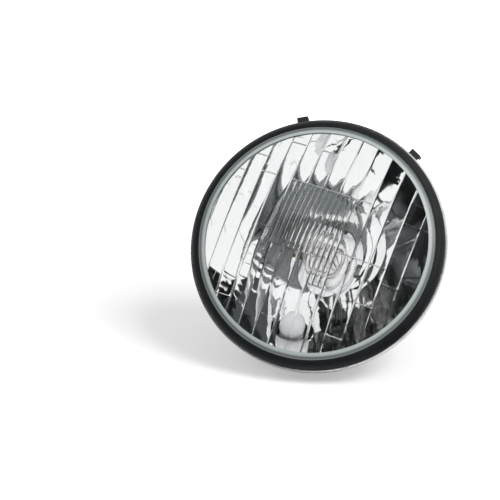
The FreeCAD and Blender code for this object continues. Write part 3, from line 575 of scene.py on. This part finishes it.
class FlutePattern:
    """Rise of the lens's inner face over its plain dome, and the grid lines that it needs."""

    # Width of the slope at a step, and how far from the end of a column its steps have to stay.
    slope = 0.12 * MM
    end_margin = 2 * MM
    # The grid's even lines down the lens, and the least gap between two lines.
    plain_rows = 56
    least_gap = 0.03 * MM
    # Extra lines across the lens where its round edge passes the outermost flutes.
    end_lines = 31
    end_angle = math.radians(0.6)

    def __init__(self, lens):
        self.pitch = lens.pitch
        self.third = lens.pitch / 3
        self.depth = lens.depth
        self.fine_depth = lens.fine_depth
        self.land = lens.land
        self.crest = lens.crest
        self.zone = lens.radius - lens.rim_width - lens.margin
        self.rows = {}
        for column, steps in FLUTE_STEPS.items():
            near = max(abs(column) - 0.5, 0) * self.pitch
            end = math.sqrt(self.zone**2 - near**2) + MM
            inside = [step * MM for step in steps if abs(step * MM) < end - self.end_margin]
            self.rows[column] = [end] + inside + [-end]

    def column_lines(self):
        """Grid lines across the lens: five on each ridge, three in each hollow, and more near both ends."""
        lines = set()
        hollow = self.third - self.land
        places = [self.land * quarter / 4 for quarter in (-2, -1, 0, 1, 2)]
        places += [self.land / 2 + hollow * quarter / 4 for quarter in (1, 2, 3)]
        half = len(FLUTE_STEPS) * self.pitch / 2
        for ridge in range(3 * len(FLUTE_STEPS) + 1):
            left = ridge * self.third - half
            lines.update(round(left + place, 7) for place in places)
        for index in range(self.end_lines):
            edge = self.zone * math.cos(index * self.end_angle)
            if edge > half:
                lines.update((round(edge, 7), round(-edge, 7)))
        return sorted(line for line in lines if abs(line) <= self.zone)

    def row_lines(self):
        """Grid lines down the lens: seven at each step, and plain ones between."""
        lines = set()
        foot = self.land / 2 + self.slope
        for heights in self.rows.values():
            for height in heights[1:-1]:
                lines.update(round(height + self.land * quarter / 4, 7) for quarter in (-2, -1, 0, 1, 2))
                lines.update((round(height - foot, 7), round(height + foot, 7)))
        for index in range(self.plain_rows + 1):
            lines.add(round(self.zone * (2 * index / self.plain_rows - 1), 7))
        spaced = []
        for line in sorted(lines):
            if not spaced or line - spaced[-1] > self.least_gap:
                spaced.append(line)
        return spaced

    def hollow(self, offset, width, depth):
        """Depth of a flute's round hollow at an offset from its middle."""
        half = (width - self.land) / 2
        radius = (half * half + depth * depth) / (2 * depth)
        return math.sqrt(radius * radius - offset * offset) - (radius - depth)

    def crown(self, gap):
        """Height of a ridge at a distance from its middle line."""
        share = min(gap / (self.land / 2), 1.0)
        return self.crest * (1.0 - share * share)

    def rise(self, x, z):
        """Height over the plain dome at a point: above it on a ridge, below it in a flute."""
        column = round(x / self.pitch)
        if column not in self.rows:
            return 0.0
        offset = x - column * self.pitch
        heights = self.rows[column]
        row = sum(z < height for height in heights[1:-1])
        step = min(heights[row] - z, z - heights[row + 1])
        width = self.pitch
        depth = self.depth
        if FINE_ROWS.get(column) == row:
            width = self.third
            depth = self.fine_depth
            offset -= self.third * round(offset / self.third)
        side = width / 2 - abs(offset)
        if side > self.land / 2 and step > (self.land + self.slope) / 2:
            return -self.hollow(offset, width, depth)
        return max(self.crown(side), self.crown(step))


class HEADLIGHT_OT_lens(bpy.types.Operator):
    """Build the pressed glass lens with its block pattern of flutes"""

    bl_idname = "headlight.lens"
    bl_label = "Fluted lens"

    dome_rings = 24

    def execute(self, context):
        lens = context.scene.headlight_lens
        flutes = FlutePattern(lens)
        shoulder = -lens.rear - lens.rim_height
        centre = shoulder + math.sqrt(lens.dome_radius**2 - lens.radius**2)
        verts, faces, loop = self.inner_face(flutes, lens.dome_radius - lens.wall, centre)
        self.close(verts, faces, loop, self.rings(lens, flutes.zone, shoulder, centre))
        apex = len(verts)
        verts.append((0.0, centre - lens.dome_radius, 0.0))
        last = list(range(apex - len(loop), apex))
        faces += [(spot, after, apex) for spot, after in zip(last, last[1:] + last[:1])]
        clear = glass("lens_glass", tuple(lens.tint), waves=0.012, streak=0.3, gleam=0.4)
        ground_rim(clear, tuple(lens.rim_tint), lens.radius - lens.rim_width - lens.frost)
        piece = add_piece("fluted_lens", verts, faces, clear.material, "lens_glass", "lens", sharp=26)
        self.face_out(piece)
        return {"FINISHED"}

    def inner_face(self, flutes, sphere, centre):
        """The fluted face as a grid that is pressed onto the zone's round edge, and its points there."""
        verts = []
        index = {}
        grid = []
        rows = flutes.row_lines()
        for x in flutes.column_lines():
            top = math.sqrt(max(flutes.zone**2 - x * x, 0.0))
            line = []
            for z in rows:
                held = min(max(z, -top), top)
                key = (round(x, 7), round(held, 7))
                if key not in index:
                    dome = centre - math.sqrt(sphere**2 - x * x - held * held)
                    index[key] = len(verts)
                    verts.append((x, dome + flutes.rise(x, held), held))
                line.append(index[key])
            grid.append(line)
        faces = []
        for left, right in zip(grid, grid[1:]):
            for low in range(len(rows) - 1):
                corners = (left[low], left[low + 1], right[low + 1], right[low])
                face = tuple(dict.fromkeys(corners))
                if len(face) > 2:
                    faces.append(face)
        return verts, faces, self.boundary(verts, grid, flutes.zone)

    def rings(self, lens, zone, shoulder, centre):
        """Radius and depth of rings from the flutes, over the rim's rounded corners, to the front."""

        def dome(radius, sphere):
            return centre - math.sqrt(sphere**2 - radius * radius)

        inside = lens.radius - lens.rim_width
        sphere = lens.dome_radius - lens.wall
        rings = [
            (zone + 0.02 * MM, dome(zone, sphere)),
            (inside - 0.3 * MM, dome(inside, sphere)),
            (inside, dome(inside, sphere) + 0.3 * MM),
            (inside, -lens.rear - 0.2 * MM),
            (inside + 0.2 * MM, -lens.rear),
            (lens.radius - 0.4 * MM, -lens.rear),
            (lens.radius, -lens.rear - 0.4 * MM),
            (lens.radius, shoulder + 0.5 * MM),
            (lens.radius - 0.15 * MM, shoulder + 0.15 * MM),
        ]
        for part in range(self.dome_rings):
            radius = (lens.radius - 0.6 * MM) * (1 - part / self.dome_rings)
            rings.append((radius, dome(radius, lens.dome_radius)))
        return rings

    def close(self, verts, faces, loop, rings):
        """Adds the rings to the mesh, each joined to the one before and the first to a loop."""
        angles = [math.atan2(verts[spot][2], verts[spot][0]) for spot in loop]
        before = loop
        count = len(loop)
        for radius, depth in rings:
            start = len(verts)
            verts += [(radius * math.cos(a), depth, radius * math.sin(a)) for a in angles]
            after = list(range(start, start + count))
            for step in range(count):
                following = (step + 1) % count
                faces.append((before[step], before[following], after[following], after[step]))
            before = after

    def boundary(self, verts, grid, zone):
        """The grid's points on the zone's edge, in order round the lens."""
        spots = [spot for line in grid for spot in line]
        limit = zone - 0.001 * MM
        edge = {spot for spot in spots if math.hypot(verts[spot][0], verts[spot][2]) > limit}
        return sorted(edge, key=lambda spot: math.atan2(verts[spot][2], verts[spot][0]))

    def face_out(self, piece):
        """Turns all faces outwards."""
        made = bmesh.new()
        made.from_mesh(piece.data)
        bmesh.ops.recalc_face_normals(made, faces=made.faces)
        made.to_mesh(piece.data)
        made.free()


class HEADLIGHT_OT_rim(bpy.types.Operator):
    """Finish the rubber gasket and the sealant under the lens"""

    bl_idname = "headlight.rim"
    bl_label = "Gasket and seal"

    def execute(self, context):
        finish = context.scene.headlight_finish
        dress(rubber("gasket_rubber", tuple(finish.rubber)), "rim_gasket")
        dress(sealed("lens_sealant", tuple(finish.sealant)), "lens_seal")
        return {"FINISHED"}


class HEADLIGHT_OT_reflector(bpy.types.Operator):
    """Finish the reflector: mirror inside, lacquer outside"""

    bl_idname = "headlight.reflector"
    bl_label = "Reflector"

    def execute(self, context):
        finish = context.scene.headlight_finish
        dress(mirror("reflector_mirror", tuple(finish.mirror), tuple(finish.lacquer)), "reflector")
        return {"FINISHED"}


class HEADLIGHT_OT_steel(bpy.types.Operator):
    """Finish the lugs, adjuster, clips, ring and bracket"""

    bl_idname = "headlight.steel"
    bl_label = "Steel fittings"

    def execute(self, context):
        finish = context.scene.headlight_finish
        zinc = tuple(finish.zinc)
        bare = tuple(finish.bare)
        lugs = coated("lug_phosphate", tuple(finish.phosphate), bare, rough=0.45, wear_and_painted_reflection=0.6)
        dress(lugs, "top_lug_left", "top_lug_right")
        dress(plated("adjuster_zinc", zinc, rough=0.24), "adjuster_bracket", "adjuster_nut")
        dress(plated("ring_zinc", shade(zinc, 1.25), rough=0.06, dull=0.85, patchy=0.06), "holder_ring")
        strip = plated("strip_zinc", shade(zinc, 0.5), rough=0.3, brushed=(6.0, 1.0, 1.0))
        dress(strip, "pilot_bracket")
        clips = coated("clip_spring_steel", tuple(finish.spring), bare, rough=0.35, wear_and_painted_reflection=0.5)
        dress(clips, "neck_clip_left", "neck_clip_right")
        rivets = plated("rivet_bright", shade(zinc, 1.2), rough=0.18)
        dress(rivets, "ring_rivet_left", "ring_rivet_right", "pilot_contact_rivet")
        return {"FINISHED"}


class HEADLIGHT_OT_holder(bpy.types.Operator):
    """Finish the moulded bulb holder, the pilot ring and their brass"""

    bl_idname = "headlight.holder"
    bl_label = "Bulb holder"

    def execute(self, context):
        finish = context.scene.headlight_finish
        phenolic = tuple(finish.phenolic)
        dress(moulded("holder_phenolic", phenolic, rough=0.3, speck=0.25), "holder_body")
        dress(moulded("pilot_moulding", shade(phenolic, 1.2), rough=0.42, speck=0.1), "pilot_ring")
        brass = tarnished("eyelet_brass", tuple(finish.brass), tuple(finish.tarnish), share=0.75)
        for side in ("left", "right"):
            for row in ("outer", "inner"):
                dress(brass, "eyelet_%s_%s" % (row, side), "terminal_%s_%s" % (row, side))
        dress(brass, "pilot_bracket_eyelet")
        copper = tuple(finish.copper)
        springs = tarnished("spring_copper", copper, shade(copper, 0.3), share=0.7)
        dress(springs, "main_spring_left", "main_spring_right")
        tongue = tarnished("tongue_copper", shade(copper, 0.7), shade(copper, 0.2), share=0.9)
        dress(tongue, "pilot_contact")
        return {"FINISHED"}


class HEADLIGHT_OT_bulbs(bpy.types.Operator):
    """Finish the two bulbs and wind their filaments"""

    bl_idname = "headlight.bulbs"
    bl_label = "Bulbs"

    # A coil's turns, the points on each turn and round the wire.
    turns = 11
    turn_steps = 16
    tube_sides = 8
    # The wire's radius and the length of lead past the coil's middle, as shares of the coil's radius.
    wire_share = 0.22
    overhang = 0.6

    def execute(self, context):
        finish = context.scene.headlight_finish
        clear = glass("bulb_glass", tuple(finish.bulb), waves=0.01, streak=1.0, gleam=0.7)
        dress(clear.material, "main_bulb_glass")
        dress(frosted("pilot_bulb_frosting", tuple(finish.frosting)), "pilot_bulb_glass")
        cap = plated("bulb_cap_nickel", tuple(finish.nickel), rough=0.05, dull=0.9, patchy=0.06)
        dress(cap, "main_bulb_base", "pilot_bulb_base")
        wire = plated("filament_wire", tuple(finish.filament), rough=0.35)
        self.filament(wire, "bulb_main_filament", coil=0.6 * MM, lead=0.35 * MM, tilt=0.0)
        self.filament(wire, "bulb_dip_filament", coil=0.6 * MM, lead=0.35 * MM, tilt=0.0)
        self.filament(wire, "pilot_bulb_filament", coil=0.45 * MM, lead=0.3 * MM, tilt=math.radians(30))
        solder = plated("contact_solder", tuple(finish.solder), rough=0.35)
        dress(solder, "main_bulb_contact_left", "main_bulb_contact_right", "pilot_bulb_tip")
        return {"FINISHED"}

    def filament(self, material, node, coil, lead, tilt):
        """Winds a coil along X between two leads that run back to the cap, in place of the plain rods."""
        spots = [nodes[node].matrix_world @ corner.co for corner in nodes[node].data.vertices]
        half = max(spot.x for spot in spots) - lead
        middle = Vector((0.0, min(spot.y for spot in spots) + coil, max(spot.z for spot in spots) - coil))
        back = Vector((0.0, math.cos(tilt), -math.sin(tilt)))
        reach = max((spot - middle).dot(back) for spot in spots)
        thin = coil * self.wire_share
        count = self.turns * self.turn_steps
        helix = []
        for index in range(count + 1):
            angle = 2 * math.pi * index / self.turn_steps
            around = (coil - thin) * Vector((0.0, math.cos(angle), math.sin(angle)))
            helix.append(middle + around + Vector((half * (2 * index / count - 1), 0.0, 0.0)))
        paths = [(helix, thin)]
        for side in (-1, 1):
            top = middle + Vector((side * half, 0.0, 0.0))
            paths.append(([top - back * coil * self.overhang, top, top + back * reach], lead))
        verts = []
        faces = []
        for path, radius in paths:
            tube(path, radius, self.tube_sides, verts, faces)
        add_piece("wound_" + node, verts, faces, material, "filament", node, sharp=50)


class HEADLIGHT_OT_stage(bpy.types.Operator):
    """Set up the table, the light and the camera"""

    bl_idname = "headlight.stage"
    bl_label = "Stage"

    def execute(self, context):
        stage = context.scene.headlight_stage
        turn = Euler((stage.pitch, stage.roll, stage.yaw)).to_matrix()
        self.camera(context, stage, turn)
        normal = turn @ Vector((0.0, math.cos(stage.lean), math.sin(stage.lean)))
        shown = [node for node in nodes.values() if not node.hide_render]
        lowest = min(normal.dot(corner.co) for node in shown for corner in node.data.vertices)
        self.table(context, stage, normal, lowest - TABLE_DROP)
        self.sky(context, stage)
        self.light(context, "key_light", turn @ Vector(KEY_PLACE), KEY_WIDTH, stage.key)
        self.light(context, "fill_light", turn @ Vector(FILL_PLACE), FILL_WIDTH, stage.fill)
        self.window_card(context, stage)
        self.painted_shadow_card(context, normal, lowest)
        context.scene.view_settings.view_transform = "Standard"
        return {"FINISHED"}

    def camera(self, context, stage, turn):
        data = bpy.data.cameras.new("camera")
        data.lens = stage.focal
        data.clip_start = 10 * MM
        camera = bpy.data.objects.new("camera", data)
        context.scene.collection.objects.link(camera)
        aim = Matrix.Rotation(stage.pan, 3, "Y") @ Matrix.Rotation(stage.tilt, 3, "X")
        target = Vector((0.0, -1.0 * MM, 0.0))
        place = target + stage.distance * turn.col[2]
        camera.matrix_world = Matrix.Translation(place) @ (turn @ aim).to_4x4()
        context.scene.camera = camera

    def table(self, context, stage, normal, height):
        """A table under the lamp as it lies in the photograph, tilted in the lamp's own frame."""
        across = normal.orthogonal().normalized()
        along = normal.cross(across)
        middle = normal * height
        corners = ((-1, -1), (1, -1), (1, 1), (-1, 1))
        verts = [middle + TABLE_HALF * (u * across + v * along) for u, v in corners]
        mesh = bpy.data.meshes.new("table")
        mesh.from_pydata(verts, [], [(0, 1, 2, 3)])
        if mesh.polygons[0].normal.dot(normal) < 0:
            mesh.flip_normals()
        skin = Finish("table_top")
        tone = tuple(stage.table)
        mottle = skin.noise(60.0, 4.0)
        away = skin.node("ShaderNodeVectorMath", {"operation": "LENGTH"}, {0: skin.spot()}, out="Value")
        white = skin.ray("Is Camera Ray") * skin.span(away, GLOW_START, GLOW_FULL, GLOW_LEAST, 1.0)
        skin.surface(
            Base_Color=skin.blend(mottle, tone, shade(tone, 0.985)),
            Roughness=0.6,
            Specular_IOR_Level=0.0,
            Emission_Color=skin.blend(white, (0.0, 0.0, 0.0), (1.0, 1.0, 1.0)),
            Emission_Strength=1.0,
        )
        behind = skin.node("ShaderNodeNewGeometry", out="Backfacing")
        skin.mix(behind, skin.node("ShaderNodeBsdfTransparent"))
        mesh.materials.append(skin.material)
        table = bpy.data.objects.new("table", mesh)
        context.scene.collection.objects.link(table)
        table.visible_diffuse = False
        table.visible_shadow = False

    def sky(self, context, stage):
        """Even light on surfaces; plain white wherever the camera, mirrors or glass look past the lamp."""
        world = bpy.data.worlds.new("sky")
        context.scene.world = world
        world.use_nodes = True
        tree = NodeTree(world.node_tree)
        mirrored = tree.ray("Is Glossy Ray").larger(tree.ray("Is Transmission Ray"))
        seen = tree.ray("Is Camera Ray").larger(mirrored)
        strength = tree.node("ShaderNodeMix", {}, {0: seen, 2: stage.sky, 3: 1.0})
        light = tree.node("ShaderNodeBackground", {}, {0: (1.0, 1.0, 1.0), 1: strength})
        tree.node("ShaderNodeOutputWorld", {}, {0: light})

    def window_card(self, context, stage):
        """A dark card with a window, upright before the lens: a painted reflection of dark surroundings
        before the lamp, which only mirrors and glass see.
        """
        axis = Vector((0.0, -stage.card_away, 0.0))
        inner = [axis + Vector((x * MM, 0.0, z * MM)) for x, z in CARD_WINDOW]
        reach = 5 * stage.card_away
        outer = [axis + (corner - axis).normalized() * reach for corner in inner]
        count = len(inner)
        faces = [(i, (i + 1) % count, count + (i + 1) % count, count + i) for i in range(count)]
        self.card(context, "window_card", inner + outer, faces, near=0.015, far=0.16)

    def painted_shadow_card(self, context, normal, lowest):
        """A dark card flat on the table beside the lamp, seen only in mirrors and glass: painted shadow of
        the lamp on the table there.
        """
        verts = []
        for x, y in PAINTED_SHADOW_CARD:
            place = Vector((x * MM, y * MM, 0.0))
            verts.append(place + Vector((0.0, 0.0, (lowest - normal.dot(place)) / normal.z)))
        faces = [(0, 1, 6, 7), (1, 2, 3, 4), (1, 4, 5, 6)]
        self.card(context, "painted_shadow_card", verts, faces, near=0.2, far=0.1)

    def card(self, context, name, verts, faces, near, far):
        """A card that only mirrors and glass see, a painted reflection, of one grey near the axis and
        another further out.
        """
        mesh = bpy.data.meshes.new(name)
        mesh.from_pydata(verts, [], faces)
        skin = Finish(name)
        # A cool grey, so that the painted reflections take a blue-green tint.
        cool = (0.92, 1.0, 1.05)
        place = skin.spot()
        x = skin.split(place, "X")
        z = skin.split(place, "Z")
        # Two paler patches of painted reflection: above the axis on the right, and below it on the left.
        above = skin.band(x, 0.03, 0.1) * skin.band(z, 0.0, 1.0)
        below = skin.band(x, -0.1, 0.0) * skin.band(z, -0.095, -0.025)
        # Painted reflection: the card is paler further from the axis, with some random variation.
        wear_and_painted_reflection = skin.span(skin.radius(), 0.1, 0.35) * (0.85 + 0.3 * skin.noise(60.0, 3.0))
        skin.surface(
            Base_Color=skin.blend(wear_and_painted_reflection.larger(above).larger(below), shade(cool, near), shade(cool, far)),
            Roughness=0.95,
            Specular_IOR_Level=0.0,
        )
        matt = skin.ray("Diffuse Depth").over(0.5)
        skin.mix(matt, skin.node("ShaderNodeBsdfTransparent"))
        mesh.materials.append(skin.material)
        item = bpy.data.objects.new(name, mesh)
        context.scene.collection.objects.link(item)
        item.visible_camera = False
        item.visible_diffuse = False
        item.visible_shadow = False

    def light(self, context, name, spot, width, power):
        """A square soft light that points at the lamp."""
        data = bpy.data.lights.new(name, "AREA")
        data.shape = "SQUARE"
        data.size = width
        data.energy = power
        lamp = bpy.data.objects.new(name, data)
        lamp.location = spot
        lamp.rotation_mode = "QUATERNION"
        lamp.rotation_quaternion = spot.to_track_quat("Z", "Y")
        context.scene.collection.objects.link(lamp)


class HEADLIGHT_PT_panel(bpy.types.Panel):
    """Lists the lamp's operators"""

    bl_idname = "HEADLIGHT_PT_panel"
    bl_label = "Scooter headlight"
    bl_space_type = "VIEW_3D"
    bl_region_type = "UI"
    bl_category = "Headlight"

    def draw(self, context):
        for operator in OPERATORS:
            self.layout.operator(operator.bl_idname)
        scene = context.scene
        for group in (scene.headlight_lens, scene.headlight_finish, scene.headlight_stage):
            box = self.layout.box()
            for name in group.__annotations__:
                box.prop(group, name)


OPERATORS = (
    HEADLIGHT_OT_lens,
    HEADLIGHT_OT_rim,
    HEADLIGHT_OT_reflector,
    HEADLIGHT_OT_steel,
    HEADLIGHT_OT_holder,
    HEADLIGHT_OT_bulbs,
    HEADLIGHT_OT_stage,
)
CLASSES = (HeadlightLens, HeadlightFinish, HeadlightStage, *OPERATORS, HEADLIGHT_PT_panel)


def register():
    for item in CLASSES:
        bpy.utils.register_class(item)
    bpy.types.Scene.headlight_lens = bpy.props.PointerProperty(type=HeadlightLens)
    bpy.types.Scene.headlight_finish = bpy.props.PointerProperty(type=HeadlightFinish)
    bpy.types.Scene.headlight_stage = bpy.props.PointerProperty(type=HeadlightStage)


def unregister():
    del bpy.types.Scene.headlight_stage
    del bpy.types.Scene.headlight_finish
    del bpy.types.Scene.headlight_lens
    for item in reversed(CLASSES):
        bpy.utils.unregister_class(item)


def main():
    register()
    bpy.ops.headlight.lens()
    bpy.ops.headlight.rim()
    bpy.ops.headlight.reflector()
    bpy.ops.headlight.steel()
    bpy.ops.headlight.holder()
    bpy.ops.headlight.bulbs()
    bpy.ops.headlight.stage()


if __name__ == "__main__":
    main()
